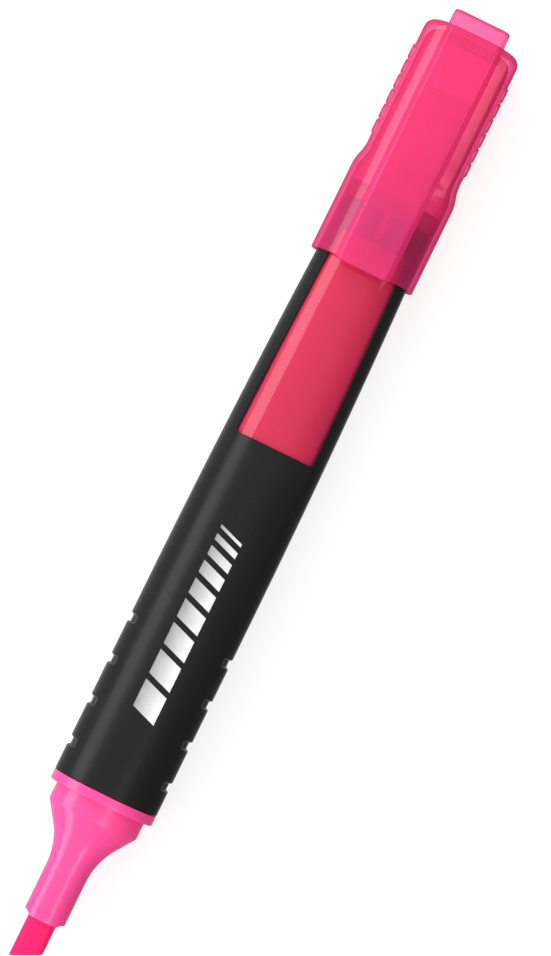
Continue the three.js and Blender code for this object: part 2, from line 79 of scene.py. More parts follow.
sleeve_low, sleeve_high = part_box("barrel_sleeve")
PEN_START = Vector((sleeve_low.x, 0, (sleeve_low.z + sleeve_high.z) / 2))
BARREL_LENGTH = (sleeve_high.x - sleeve_low.x) / MM
BODY_WIDTH = (sleeve_high.y - sleeve_low.y) / 2 / MM
BODY_THICK = (sleeve_high.z - sleeve_low.z) / 2 / MM
TAPER_START = 32.3
TAIL_INSET = 1.35
SLEEVE_WALL = 1.0
NOTCH_PLACES = [4.9 + 7.1 * i for i in range(4)]
NOTCH_MOUTH, NOTCH_FLOOR, NOTCH_DEPTH, NOTCH_CROWN = 1.7, 1.0, 0.45, 0.03
NOTCH_REACH, NOTCH_END = 3.3, 4.3
NOTCH_SPAN = 1.1
RING_STEP, FINE_STEP = 1.5, 0.09
FRONT_FLAT, FRONT_EDGE = 0.5, 0.2
TAIL_FLAT, TAIL_EDGE = 1.2, 1.1
WINDOW_START, WINDOW_END, WINDOW_BORDER = 59.3, 95.0, 2.0
WINDOW_CORNER, WINDOW_LIP = 0.6, 0.1


def taper(x):
    """How far the barrel has drawn in at x."""
    return TAIL_INSET * (max(0.0, x - TAPER_START) / (BARREL_LENGTH - TAPER_START)) ** 2


def smooth_step(low, high, value):
    """0 below low, 1 above high, and a smooth rise between; low may be the larger one."""
    share = np.clip((value - low) / (high - low), 0, 1)
    return share * share * (3 - 2 * share)


def oval_ring(x, half_width, half_thick, draw=0.0, power=OVAL_POWER):
    """Points round one oval. draw, a number or one for each point, pulls them inwards."""
    turn = (np.arange(AROUND) + 0.5) * 2 * np.pi / AROUND
    across = np.sign(np.cos(turn)) * np.abs(np.cos(turn)) ** (2 / power)
    up = np.sign(np.sin(turn)) * np.abs(np.sin(turn)) ** (2 / power)
    y = (half_width - draw) * across
    z = (half_thick - draw) * up
    return np.column_stack([np.full(AROUND, float(x)), y, z])


def surface_height(x, y):
    """Height of the barrel's oval above the axis at a place in plan."""
    half_width = BODY_WIDTH - taper(x)
    half_thick = BODY_THICK - taper(x)
    share = min(abs(y) / half_width, 1.0)
    return half_thick * (1 - share**OVAL_POWER) ** (1 / OVAL_POWER)


def rounded(corners, looped=False, steps=6):
    """A profile of (x, half width, half thickness) whose corners, each with its own
    radius as a fourth number, are turned into short curves. A curve takes a little less
    than half of a side, so that two neighbours never meet."""
    profile = []
    for i, corner in enumerate(corners):
        here, radius = np.array(corner[:3], float), corner[3]
        if radius == 0 or (not looped and i in (0, len(corners) - 1)):
            profile.append(here)
            continue
        sides = []
        for other in (corners[i - 1], corners[(i + 1) % len(corners)]):
            run = np.array(other[:3], float) - here
            length = np.linalg.norm(run)
            sides.append(here + run / length * min(radius, 0.48 * length))
        for k in range(steps + 1):
            f = k / steps
            profile.append((1 - f) ** 2 * sides[0] + 2 * f * (1 - f) * here + f * f * sides[1])
    return profile


def mesh_piece(name, points, faces, start=PEN_START):
    """An object in the frame from points in millimetres, with its faces turned outwards."""
    mesh = bpy.data.meshes.new(name)
    mesh.from_pydata([start + Vector(p) * MM for p in points], [], faces)
    work = bmesh.new()
    work.from_mesh(mesh)
    bmesh.ops.recalc_face_normals(work, faces=work.faces)
    work.to_mesh(mesh)
    work.free()
    piece = bpy.data.objects.new(name, mesh)
    bpy.context.scene.collection.objects.link(piece)
    return piece


def skin(name, rings, start=PEN_START):
    """One closed mesh through rings of points. A ring of one point closes an end, and
    where no ring does so the last one joins the first."""
    firsts = np.cumsum([0] + [len(ring) for ring in rings])
    pairs = list(zip(range(len(rings) - 1), range(1, len(rings))))
    if min(len(ring) for ring in rings) > 1:
        pairs.append((len(rings) - 1, 0))
    faces = []
    for a, b in pairs:
        count = max(len(rings[a]), len(rings[b]))
        for i in range(count):
            j = (i + 1) % count
            corners = [
                firsts[a] + i % len(rings[a]),
                firsts[b] + i % len(rings[b]),
                firsts[b] + j % len(rings[b]),
                firsts[a] + j % len(rings[a]),
            ]
            faces.append([int(c) for c in dict.fromkeys(corners)])
    return mesh_piece(name, np.vstack(rings), faces, start)


def oval_rings(profile, power=lambda x: OVAL_POWER):
    """Rings of a profile of (x, half width, half thickness); no size is an end's centre."""
    rings = []
    for x, w, t in profile:
        rings.append(oval_ring(x, w, t, power=power(x)) if w > 0 else np.array([[x, 0.0, 0.0]]))
    return rings


def body_corner(x, inset, radius=0.0):
    """A profile corner on the barrel's oval, which tapers, drawn in by inset."""
    draw = taper(x) + inset
    return (x, BODY_WIDTH - draw, BODY_THICK - draw, radius)


def cut(piece, other, operation="DIFFERENCE"):
    """Cuts, joins or intersects a piece with another, which is used up."""
    modifier = piece.modifiers.new("cut", "BOOLEAN")
    modifier.operation = operation
    modifier.solver = "EXACT"
    modifier.object = other
    graph = bpy.context.evaluated_depsgraph_get()
    mesh = bpy.data.meshes.new_from_object(piece.evaluated_get(graph))
    piece.modifiers.remove(modifier)
    piece.data = mesh
    bpy.data.objects.remove(other)


def dress(piece, material, body, edge_angle=32):
    """Gives a piece its material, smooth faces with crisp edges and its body."""
    piece.data.materials.clear()
    piece.data.materials.append(material)
    piece.data.shade_smooth()
    piece.data.set_sharp_from_angle(angle=math.radians(edge_angle))
    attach(piece, body)


def window_outline(grow=0.0):
    """The window's edge in plan: square ends, small corners, and long sides that keep the
    same border to the barrel's narrow side."""
    corner = WINDOW_CORNER + grow
    start, end = WINDOW_START - grow, WINDOW_END + grow
    angles = np.linspace(0, math.pi / 2, 7)
    curve = [(corner * (1 - math.sin(a)), corner * (1 - math.cos(a))) for a in angles]
    side = [(start + along, draw) for along, draw in reversed(curve)]
    side += [(x, 0.0) for x in np.linspace(start + corner, end - corner, 14)[1:-1]]
    side += [(end - along, draw) for along, draw in curve]
    upper = [(x, BODY_WIDTH - taper(x) - WINDOW_BORDER + grow - draw) for x, draw in side]
    return upper + [(x, -y) for x, y in reversed(upper)]


def window_cutter(side):
    """A plug of the window's outline whose mouth flares, which rounds the window's lip."""
    plain, flared = window_outline(), window_outline(WINDOW_LIP)
    levels = [
        [(x, y, 0.0) for x, y in plain],
        [(x, y, surface_height(x, y) - WINDOW_LIP) for x, y in plain],
        [(x, y, surface_height(x, y) + 0.01) for x, y in flared],
        [(x, y, BODY_THICK + 2.0) for x, y in flared],
    ]
    points = np.array([p for level in levels for p in level]) * (1, 1, side)
    count = len(plain)
    faces = [list(range(count)), list(range(3 * count, 4 * count))]
    for level in range(3):
        for i in range(count):
            j = (i + 1) % count
            low, high = level * count, (level + 1) * count
            faces.append([low + i, low + j, high + j, high + i])
    return mesh_piece("window_cutter", points, faces)


def node_finish(name):
    """A new material made of nodes, with its nodes and links at hand."""
    material = bpy.data.materials.new(name)
    material.use_nodes = True
    return material, material.node_tree.nodes, material.node_tree.links


def mottling(material, scale, detail=2):
    """Noise that lies in the piece itself, a number from 0 to 1."""
    nodes, links = material.node_tree.nodes, material.node_tree.links
    place = nodes.new("ShaderNodeTexCoord")
    noise = nodes.new("ShaderNodeTexNoise")
    noise.inputs["Scale"].default_value = scale
    noise.inputs["Detail"].default_value = detail
    links.new(place.outputs["Object"], noise.inputs["Vector"])
    return noise.outputs["Fac"]


def between(material, value, low, high, start=0.0, end=1.0):
    """A number that goes from low to high while value goes from start to end."""
    nodes, links = material.node_tree.nodes, material.node_tree.links
    share = nodes.new("ShaderNodeMapRange")
    share.inputs["From Min"].default_value = start
    share.inputs["From Max"].default_value = end
    share.inputs["To Min"].default_value = low
    share.inputs["To Max"].default_value = high
    links.new(value, share.inputs["Value"])
    return share


def two_shades(material, value, first, second):
    """A colour that goes from the first to the second with value."""
    nodes, links = material.node_tree.nodes, material.node_tree.links
    mix = nodes.new("ShaderNodeMix")
    mix.data_type = "RGBA"
    mix.inputs["A"].default_value = (*first, 1)
    mix.inputs["B"].default_value = (*second, 1)
    links.new(value, mix.inputs["Factor"])
    return mix.outputs["Result"]


def relief(material, height, depth, strength):
    """Fine relief, as a normal: depth is in millimetres."""
    nodes, links = material.node_tree.nodes, material.node_tree.links
    bump = nodes.new("ShaderNodeBump")
    bump.inputs["Strength"].default_value = strength
    bump.inputs["Distance"].default_value = depth * MM
    links.new(height, bump.inputs["Height"])
    return bump.outputs["Normal"]


def satin_plastic(name, color, roughness, grain=0.012, specular=0.5, coat=0.0):
    """Moulded plastic: a colour that wanders slightly, a fine grain, and wear that shows
    as patches of a little more gloss."""
    material, nodes, links = node_finish(name)
    shader = nodes["Principled BSDF"]
    shader.inputs["Specular IOR Level"].default_value = specular
    shader.inputs["Coat Weight"].default_value = coat
    shader.inputs["Coat Roughness"].default_value = 0.06
    clouds = mottling(material, 90, 4)
    darker, lighter = [c * 0.93 for c in color], [min(1, c * 1.05) for c in color]
    links.new(two_shades(material, clouds, darker, lighter), shader.inputs["Base Color"])
    gloss = between(material, clouds, roughness * 0.9, roughness * 1.1, 0.3, 0.7)
    links.new(gloss.outputs["Result"], shader.inputs["Roughness"])
    pits = mottling(material, 2600, 3)
    links.new(relief(material, pits, grain, 0.35), shader.inputs["Normal"])
    return material


def notch_depth(x):
    """How deep the grip notches are at x, with a faint crown on the pads between them."""
    depth = -NOTCH_CROWN if NOTCH_PLACES[0] < x < NOTCH_PLACES[-1] else 0.0
    for place in NOTCH_PLACES:
        away = abs(x - place)
        flank = smooth_step(NOTCH_MOUTH / 2, NOTCH_FLOOR / 2, away)
        depth = max(depth, float(flank) * NOTCH_DEPTH)
    return depth


def sleeve_rings():
    """The sleeve's outside, with rings close together at the notches, and its bore."""
    places = set(np.arange(FRONT_FLAT, BARREL_LENGTH - TAIL_FLAT, RING_STEP))
    for place in NOTCH_PLACES:
        places |= set(np.arange(place - NOTCH_SPAN, place + NOTCH_SPAN, FINE_STEP))
    front = [
        body_corner(0, SLEEVE_WALL),
        body_corner(0, 0, FRONT_EDGE),
        body_corner(FRONT_FLAT, 0),
    ]
    rings = oval_rings(rounded(front))
    for x in sorted(places):
        w, t = body_corner(x, 0)[1:3]
        height = np.abs(oval_ring(x, w, t)[:, 2])
        share = 1 - smooth_step(NOTCH_REACH, NOTCH_END, height)
        rings.append(oval_ring(x, w, t, notch_depth(x) * share))
    tail = [
        body_corner(BARREL_LENGTH - TAIL_FLAT, 0),
        body_corner(BARREL_LENGTH, 0, TAIL_EDGE),
        body_corner(BARREL_LENGTH, SLEEVE_WALL),
    ]
    rings += oval_rings(rounded(tail))
    inside = np.linspace(BARREL_LENGTH, 0, 24)[1:-1]
    return rings + oval_rings([body_corner(x, SLEEVE_WALL)[:3] for x in inside])


sleeve = skin("sleeve", sleeve_rings())
for side in (1, -1):
    cut(sleeve, window_cutter(side))
SLEEVE_BLACK = (0.0105, 0.0105, 0.0108)
black_satin = satin_plastic("black_satin", SLEEVE_BLACK, 0.28, grain=0.006, specular=0.215)
dress(sleeve, black_satin, "barrel", edge_angle=24)
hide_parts("barrel_sleeve")


# ---- Silver foil -----------------------------------------------------------------------
# A row of slanted bars is hot-stamped in silver foil along the upper face of the sleeve.
# The foil is a few hundredths of a millimetre thick and follows the oval.

FOIL_START, FOIL_END, FOIL_HALF_HEIGHT = 13.5, 44.6, 2.1
FOIL_BARS, FOIL_GAP, FOIL_SLANT = 9, 1.0, 0.35
FOIL_LIFT, FOIL_THICK = 0.03, 0.06
FOIL_GREY, FOIL_WHITE = (0.3, 0.3, 0.305), (0.97, 0.97, 0.97)


def plate(name, outline, top, bottom, rings):
    """A thin plate with a plan outline. Its top and bottom follow two height functions."""
    edge = np.array(outline, float)
    centre = edge.mean(0)
    levels = []
    for height, shares in ((top, range(1, rings + 1)), (bottom, range(rings, 0, -1))):
        for share in shares:
            plan = centre + (edge - centre) * (share / rings)
            levels.append(np.array([(x, y, height(x, y)) for x, y in plan]))
    first = np.array([(*centre, top(*centre))])
    last = np.array([(*centre, bottom(*centre))])
    return skin(name, [first, *levels, last])


def foil_bars():
    """The outlines of the bars: their widths fall evenly from the first to the last."""
    shares = np.arange(FOIL_BARS, 0, -1, dtype=float)
    widths = shares / shares.sum() * (FOIL_END - FOIL_START - FOIL_GAP * (FOIL_BARS - 1))
    x = FOIL_START
    for width in widths:
        side = np.linspace(-FOIL_HALF_HEIGHT, FOIL_HALF_HEIGHT, 12)
        near = [(x + FOIL_SLANT * y, y) for y in side]
        yield near + [(px + width, py) for px, py in reversed(near)]
        x += width + FOIL_GAP


def silver_foil():
    """Metal foil that runs from white to grey across each bar, with fine streaks."""
    material, nodes, links = node_finish("silver_foil")
    shader = nodes["Principled BSDF"]
    shader.inputs["Metallic"].default_value = 0.6
    streaks = mottling(material, 400, 5)
    place = nodes.new("ShaderNodeTexCoord")
    split = nodes.new("ShaderNodeSeparateXYZ")
    links.new(place.outputs["Generated"], split.inputs["Vector"])
    sweep = between(material, split.outputs["Y"], 0.9, 0.0, 0.15, 1.0)
    streaked = nodes.new("ShaderNodeMath")
    streaked.operation = "MULTIPLY_ADD"
    streaked.use_clamp = True
    streaked.inputs[1].default_value = 0.25
    links.new(streaks, streaked.inputs[0])
    links.new(sweep.outputs["Result"], streaked.inputs[2])
    color = two_shades(material, streaked.outputs["Value"], FOIL_GREY, FOIL_WHITE)
    links.new(color, shader.inputs["Base Color"])
    gloss = between(material, streaks, 0.24, 0.42)
    links.new(gloss.outputs["Result"], shader.inputs["Roughness"])
    return material


foil_metal = silver_foil()
for number, outline in enumerate(foil_bars(), start=1):
    bar = plate(
        f"foil_bar_{number}",
        outline,
        lambda x, y: surface_height(x, y) + FOIL_LIFT,
        lambda x, y: surface_height(x, y) + FOIL_LIFT - FOIL_THICK,
        rings=5,
    )
    dress(bar, foil_metal, "barrel", edge_angle=50)


# ---- Clear tank ------------------------------------------------------------------------
# The ink tank is a clear polypropylene tube, open at the front. A pad of it stands up into
# each window of the sleeve, a third of a millimetre below the sleeve's face.

MOULD_GAP = 0.2
TANK_WALL, TANK_FLOOR = 1.1, 1.2
TANK_INSET = SLEEVE_WALL + MOULD_GAP
TANK_END = WINDOW_END + WINDOW_CORNER + 1.2
WINDOW_RECESS = 0.35
PAD_GAP, PAD_FOOT = 0.02, 0.5
STRAIGHT_GLOSS, GLANCING_GLOSS = 0.04, 0.12


def glossed(material, under, normal, roughness):
    """Finishes a material: the shader under, beneath a skin that mirrors the room, little
    from straight on and much at a glancing angle, and alike from inside the wall."""
    nodes, links = material.node_tree.nodes, material.node_tree.links
    mirror = nodes.new("ShaderNodeBsdfGlossy")
    mirror.inputs["Roughness"].default_value = roughness
    links.new(normal, mirror.inputs["Normal"])
    facing = nodes.new("ShaderNodeLayerWeight")
    facing.inputs["Blend"].default_value = 0.5
    links.new(normal, facing.inputs["Normal"])
    rise = nodes.new("ShaderNodeMath")
    rise.operation = "POWER"
    rise.inputs[1].default_value = 5
    links.new(facing.outputs["Facing"], rise.inputs[0])
    share = between(material, rise.outputs["Value"], STRAIGHT_GLOSS, GLANCING_GLOSS)
    both = nodes.new("ShaderNodeMixShader")
    links.new(share.outputs["Result"], both.inputs["Fac"])
    links.new(under, both.inputs[1])
    links.new(mirror.outputs["BSDF"], both.inputs[2])
    links.new(both.outputs["Shader"], nodes["Material Output"].inputs["Surface"])


def clear_plastic(name, tint, roughness):
    """Clear moulding: what is behind it shows through, and its skin mirrors the room."""
    material, nodes, links = node_finish(name)
    nodes.remove(nodes["Principled BSDF"])
    waves = relief(material, mottling(material, 160), 0.01, 0.1)
    through = nodes.new("ShaderNodeBsdfTransparent")
    through.inputs["Color"].default_value = (*tint, 1)
    glossed(material, through.outputs["BSDF"], waves, roughness)
    return material


def tank_profile():
    """Outside and inside of the tank, a tube on the barrel's taper, closed at its end."""
    hollow_end = TANK_END - TANK_FLOOR
    inner = [body_corner(x, TANK_INSET + TANK_WALL) for x in np.linspace(hollow_end, 0, 18)]
    outer = [body_corner(x, TANK_INSET) for x in np.linspace(0, TANK_END, 18)]
    return [(hollow_end, 0, 0)] + [c[:3] for c in inner + outer] + [(TANK_END, 0, 0)]


def oval_bar(name, start, end, inset, steps=40):
    """A solid bar on the barrel's taper, from start to end, drawn in by inset."""
    sides = [body_corner(x, inset)[:3] for x in np.linspace(start, end, steps)]
    return skin(name, oval_rings([(start, 0, 0), *sides, (end, 0, 0)]))


def window_pad(side, gap, recess, root):
    """The pad that stands up in a window, from the insets root to recess. side is 1 above
    and -1 beneath."""
    outline = window_outline(-gap)
    count = len(outline)
    points = [(x, y, side * z) for z in (PAD_FOOT, BODY_THICK) for x, y in outline]
    faces = [list(range(count)), list(range(count, 2 * count))]
    for i in range(count):
        j = (i + 1) % count
        faces.append([i, j, count + j, count + i])
    pad = mesh_piece("window_pad", points, faces)
    cut(pad, oval_bar("pad_form", WINDOW_START - 1, WINDOW_END + 1, recess), "INTERSECT")
    cut(pad, oval_bar("pad_root", WINDOW_START - 2, WINDOW_END + 2, root))
    return pad


tank = skin("tank", oval_rings(tank_profile()))
for side in (1, -1):
    cut(tank, window_pad(side, PAD_GAP, WINDOW_RECESS, TANK_INSET + TANK_WALL / 2), "UNION")
dress(tank, clear_plastic("clear_tank", (0.97, 0.97, 0.97), 0.03), "barrel")
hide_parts("ink_tank")


# ---- Ink -------------------------------------------------------------------------------
# Free liquid ink, a red-pink dye in water, fills the tank behind the bung. The clear wall
# bends the light, so the ink seems to fill the window's pads up to their skin.

INK_GAP, INK_END_GAP = 0.02, 0.05
INK_START = (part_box("ink_charge")[0].x - PEN_START.x) / MM
INK_END = TANK_END - TANK_FLOOR - INK_END_GAP
INK_INSET = TANK_INSET + TANK_WALL + INK_GAP
INK_SKIN, INK_ROOT = 0.12, 0.3
INK_RED = (0.6, 0.028, 0.085)


def let_light_in(material, share, reach):
    """Light enters the material and comes out a little farther on, reach metres for each
    of red, green and blue."""
    shader = material.node_tree.nodes["Principled BSDF"]
    shader.inputs["Subsurface Weight"].default_value = share
    shader.inputs["Subsurface Radius"].default_value = reach
    shader.inputs["Subsurface Scale"].default_value = 1.0


ink = oval_bar("ink", INK_START, INK_END, INK_INSET, steps=16)
for side in (1, -1):
    pad = window_pad(side, 2 * PAD_GAP, WINDOW_RECESS + INK_SKIN, INK_INSET + INK_ROOT)
    cut(ink, pad, "UNION")
liquid_ink = satin_plastic("liquid_ink", INK_RED, 0.5, grain=0.0, specular=0.0)
let_light_in(liquid_ink, 0.3, (0.002, 0.0004, 0.0006))
dress(ink, liquid_ink, "barrel")
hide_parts("ink_charge")


# ---- Tail plug -------------------------------------------------------------------------
# A cup of the sleeve's black plastic is pressed into the tail behind the tank. A shallow
# dish in its outer face shows where the mould's gate was trimmed.

PLUG_WALL, PLUG_FIT = 1.0, 0.05
PLUG_START, PLUG_INSET = TANK_END + 0.25, SLEEVE_WALL + PLUG_FIT
PLUG_FLOOR = BARREL_LENGTH - PLUG_WALL
PLUG_FACE, DISH_FLOOR = BARREL_LENGTH - 0.1, BARREL_LENGTH - 0.3
DISH_RIM, DISH_FOOT = 2.6, 3.0
plug_corners = [
    (PLUG_FLOOR, 0, 0, 0),
    body_corner(PLUG_FLOOR, PLUG_INSET + PLUG_WALL, 0.2),
    body_corner(PLUG_START, PLUG_INSET + PLUG_WALL, 0.2),
    body_corner(PLUG_START, PLUG_INSET, 0.2),
    body_corner(PLUG_FACE, PLUG_INSET, 0.25),
    body_corner(PLUG_FACE, PLUG_INSET + DISH_RIM, 0.3),
    body_corner(DISH_FLOOR, PLUG_INSET + DISH_FOOT, 0.3),
    (DISH_FLOOR, 0, 0, 0),
]
plug = skin("tail_cup", oval_rings(rounded(plug_corners)))
dress(plug, black_satin, "barrel")
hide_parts("tail_plug")


# ---- Front section ---------------------------------------------------------------------
# Glossy pink polypropylene. A flange meets the barrel, a collar takes the cap's mouth, and
# a flare leads to the neck, whose two lips hold the nib. A spigot fits into the tank.

NECK_WIDTH, NECK_THICK = 3.44, 2.75
COLLAR_INSET = 1.2
SPIGOT_INSET, SPIGOT_BACK = TANK_INSET + TANK_WALL + 0.25, 8.0
BORE_INSET, BORE_FRONT = SPIGOT_INSET + 1.3, -3.0
FLANGE_BACK, FLANGE_FRONT, COLLAR_FRONT = -0.12, -1.72, -4.62
NECK_FRONT = (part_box("front_section")[0].x - PEN_START.x) / MM
FLARE_SLOPE = math.tan(math.radians(34.5))
FLARE_FOOT = COLLAR_FRONT - (BODY_WIDTH - COLLAR_INSET - NECK_WIDTH) / FLARE_SLOPE
FLARE_ROUND = 3.7
LIP_LENGTH, LIP_SIDE, LIP_EDGE = 0.6, 2.35, 2.6
NIB_WAY_WIDTH, NIB_WAY_THICK = 2.59, 1.9
SECTION_PINK = (0.99, 0.066, 0.29)


def section_rings():
    """The section from its neck back to the spigot and forwards again through its bore."""
    corners = [
        (NECK_FRONT, NECK_WIDTH, NECK_THICK, 0.18),
        (FLARE_FOOT, NECK_WIDTH, NECK_THICK, FLARE_ROUND),
        (COLLAR_FRONT, BODY_WIDTH - COLLAR_INSET, BODY_THICK - COLLAR_INSET, 0.22),
        body_corner(FLANGE_FRONT, COLLAR_INSET, 0.15),
        body_corner(FLANGE_FRONT, 0, 0.28),
        body_corner(FLANGE_BACK, 0, 0.1),
        body_corner(FLANGE_BACK, SPIGOT_INSET),
        body_corner(SPIGOT_BACK, SPIGOT_INSET, 0.3),
        body_corner(SPIGOT_BACK, BORE_INSET),
        body_corner(BORE_FRONT, BORE_INSET),
        (FLARE_FOOT + 1, NIB_WAY_WIDTH, NIB_WAY_THICK, 0.5),
        (NECK_FRONT, NIB_WAY_WIDTH, NIB_WAY_THICK, 0.1),
    ]
    rings = oval_rings(rounded(corners, looped=True, steps=9))
    near = NECK_FRONT + 3 * LIP_LENGTH
    for ring in rings:
        if ring[0][0] < near:
            step = LIP_LENGTH * smooth_step(LIP_SIDE, LIP_EDGE, np.abs(ring[:, 1]))
            ring[:, 0] += step * (near - ring[:, 0]) / (near - NECK_FRONT)
    return rings


def add_neck_rings(rings):
    """Extra rings, one for each millimetre, on the long straight neck, where the lips' step
    needs room to fade."""
    filled = []
    for a, b in zip(rings, rings[1:] + rings[:1]):
        filled.append(a)
        count = int(abs(float(b[0][0] - a[0][0])))
        for k in range(1, count):
            filled.append(a + (b - a) * (k / count))
    return filled


section = skin("nose_section", add_neck_rings(section_rings()))
pink_gloss = satin_plastic("pink_gloss", SECTION_PINK, 0.2, 0.004, specular=0.42, coat=0.15)
let_light_in(pink_gloss, 0.3, (0.005, 0.0012, 0.0022))
dress(section, pink_gloss, "barrel")
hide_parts("front_section")


# ---- Nib -------------------------------------------------------------------------------
# A bar of bonded porous fibre, soaked with ink, is pushed into the neck. Its end is cut on
# a slant and thinned from both wide faces to a writing edge.

nib_low, nib_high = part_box("chisel_nib")
NIB_BACK = (nib_high.x - PEN_START.x) / MM
NIB_TIP = (nib_low.x - PEN_START.x) / MM
NIB_WIDTH, NIB_THICK, NIB_EDGE = 2.44, 1.75, 0.8
NIB_WEDGE = 5.2
NIB_SLANT = math.tan(math.radians(26))
NIB_SQUARE, NIB_ROUND, NIB_DRAFT = 3.4, 0.22, 0.13
NIB_BODY = (0, 0.1, 0.3, 0.5, 0.6, 0.66, 0.7, 0.72)
ROUND_START = 0.985


def nib_ring(share, shrink=0.0):
    """One ring of the nib: share runs from its back, 0, to its slanted cut, 1. The rings
    turn from square to slanted near the cut, and one side leans in towards the top."""
    middle = NIB_TIP + NIB_WIDTH * NIB_SLANT
    x = NIB_BACK + (middle - NIB_BACK) * share
    wedge = max(0.0, 1 - (x - middle) / NIB_WEDGE)
    thick = NIB_THICK + (NIB_EDGE - NIB_THICK) * wedge - shrink
    turn = (np.arange(AROUND) + 0.5) * 2 * np.pi / AROUND
    power = 2 / NIB_SQUARE
    y = (NIB_WIDTH - shrink) * np.sign(np.cos(turn)) * np.abs(np.cos(turn)) ** power
    z = thick * np.sign(np.sin(turn)) * np.abs(np.sin(turn)) ** power
    y = np.where(y < 0, y * (1 - NIB_DRAFT * (z / thick + 1) / 2), y)
    return np.column_stack([x - NIB_SLANT * y * share**6, y, z])


def felt(name, color):
    """Bonded fibre: matt, pricked all over with pores, darker where ink has gathered."""
    material, nodes, links = node_finish(name)
    shader = nodes["Principled BSDF"]
    shader.inputs["Roughness"].default_value = 0.85
    shader.inputs["Specular IOR Level"].default_value = 0.25
    pools = mottling(material, 420)
    darker, lighter = [c * 0.86 for c in color], [min(1, c * 1.08) for c in color]
    links.new(two_shades(material, pools, darker, lighter), shader.inputs["Base Color"])
    pores = mottling(material, 4200, 6)
    links.new(relief(material, pores, 0.05, 0.5), shader.inputs["Normal"])
    return material


nib_rings = [nib_ring(share) for share in (*NIB_BODY, *np.linspace(0.74, ROUND_START, 22))]
for bend in np.linspace(0, math.pi / 2, 5)[1:]:
    share = ROUND_START + (1 - ROUND_START) * math.sin(bend)
    nib_rings.append(nib_ring(share, NIB_ROUND * (1 - math.cos(bend))))
nib_ends = [np.array([[NIB_BACK, 0, 0]]), np.array([nib_ring(1, NIB_ROUND).mean(0)])]
nib = skin("nib", [nib_ends[0], *nib_rings, nib_ends[1]])
inked_felt = felt("inked_felt", (0.95, 0.014, 0.135))
dress(nib, inked_felt, "barrel")
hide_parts("chisel_nib")


# ---- Feed ------------------------------------------------------------------------------
# Hidden in the barrel, ink goes from the tank through a porous rod in a rubber bung and a
# finned feed of white plastic to the nib. A rubber ring seals the section's spigot.

seal_rubber = satin_plastic("seal_rubber", (0.03, 0.03, 0.033), 0.7, grain=0.03)
feed_white = satin_plastic("feed_white", (0.78, 0.77, 0.74), 0.5)
pale_felt = felt("pale_felt", (0.85, 0.32, 0.45))
feed_finishes = {
    "section_seal": seal_rubber,
    "reservoir_bung": seal_rubber,
    "ink_collector": feed_white,
    "feed_rod": pale_felt,
}
for node, finish in feed_finishes.items():
    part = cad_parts[node]
    part.data.materials.clear()
    part.data.materials.append(finish)


# ---- Cap -------------------------------------------------------------------------------
# A deep cup of translucent pink polypropylene. A wide collar at its mouth grips the tail, a
# step leads to the slimmer body, and ribs on its narrow sides give a hold. Its lengths are
# from the mouth.

shell_low, shell_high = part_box("cap_shell")
CAP_START = Vector((shell_low.x, PEN_START.y, PEN_START.z))
CAP_LENGTH, CAP_WALL, CAP_END_WALL = 40.5, 0.88, 1.2
CAP_COLLAR, CAP_STEP, CAP_STEP_DEPTH, CAP_CORNER = 15.35, 17.55, 0.71, 3.6
RIB_FIRST, RIB_PITCH, RIB_LENGTH, RIB_COUNT = 20.3, 2.6, 2.1, 6
RIB_HEIGHT, RIB_REACH, RIB_END = 0.25, 2.6, 3.3
CAP_SQUARER = 0.7
FIRST_RIB_RING, RIB_RISE, RIB_FALL = RIB_FIRST - 0.4, 0.2, 0.12
TINT, SLANT_TINT = (1.0, 0.5, 0.72), (0.6, 0.12, 0.24)
SLANT_SHARE = 0.32
BODY_PINK = (1.0, 0.055, 0.3)


def tinted_plastic(name, tint, body_color, body_share, roughness):
    """Translucent moulding: part of the light goes through and takes the tint, part is
    scattered in the wall, and the skin mirrors the room. Where the wall is seen at a slant
    the way through it is longer, so it's deeper in colour there."""
    material, nodes, links = node_finish(name)
    nodes.remove(nodes["Principled BSDF"])
    clouds = mottling(material, 120, 3)
    waves = relief(material, clouds, 0.01, 0.1)
    haze = between(material, clouds, body_share * 0.9, body_share * 1.1, 0.3, 0.7)
    front = nodes.new("ShaderNodeBsdfDiffuse")
    back = nodes.new("ShaderNodeBsdfTranslucent")
    for half in (front, back):
        half.inputs["Color"].default_value = (*body_color, 1)
    scatter = nodes.new("ShaderNodeMixShader")
    scatter.inputs["Fac"].default_value = 0.1
    links.new(front.outputs["BSDF"], scatter.inputs[1])
    links.new(back.outputs["BSDF"], scatter.inputs[2])
    facing = nodes.new("ShaderNodeLayerWeight")
    facing.inputs["Blend"].default_value = 0.5
    depth = nodes.new("ShaderNodeMath")
    depth.operation = "POWER"
    depth.inputs[1].default_value = 1.4
    links.new(facing.outputs["Facing"], depth.inputs[0])
    share = between(material, depth.outputs["Value"], body_share, SLANT_SHARE)
    links.new(haze.outputs["Result"], share.inputs["To Min"])
    deep = [c * s for c, s in zip(tint, SLANT_TINT)]
    through = nodes.new("ShaderNodeBsdfTransparent")
    passing = two_shades(material, depth.outputs["Value"], tint, deep)
    links.new(passing, through.inputs["Color"])
    wall = nodes.new("ShaderNodeMixShader")
    links.new(share.outputs["Result"], wall.inputs["Fac"])
    links.new(through.outputs["BSDF"], wall.inputs[1])
    links.new(scatter.outputs["Shader"], wall.inputs[2])
    glossed(material, wall.outputs["Shader"], waves, roughness)
    return material


def cap_corner(x, inset, radius=0.0):
    """A profile corner of the cap, drawn in by inset from the barrel's full size."""
    return (x, BODY_WIDTH - inset, BODY_THICK - inset, radius)


def cap_power(x):
    """The cap's section turns from the barrel's oval to a squarer one beyond the collar."""
    return OVAL_POWER + CAP_SQUARER * float(smooth_step(CAP_COLLAR - 1, CAP_STEP + 1, x))


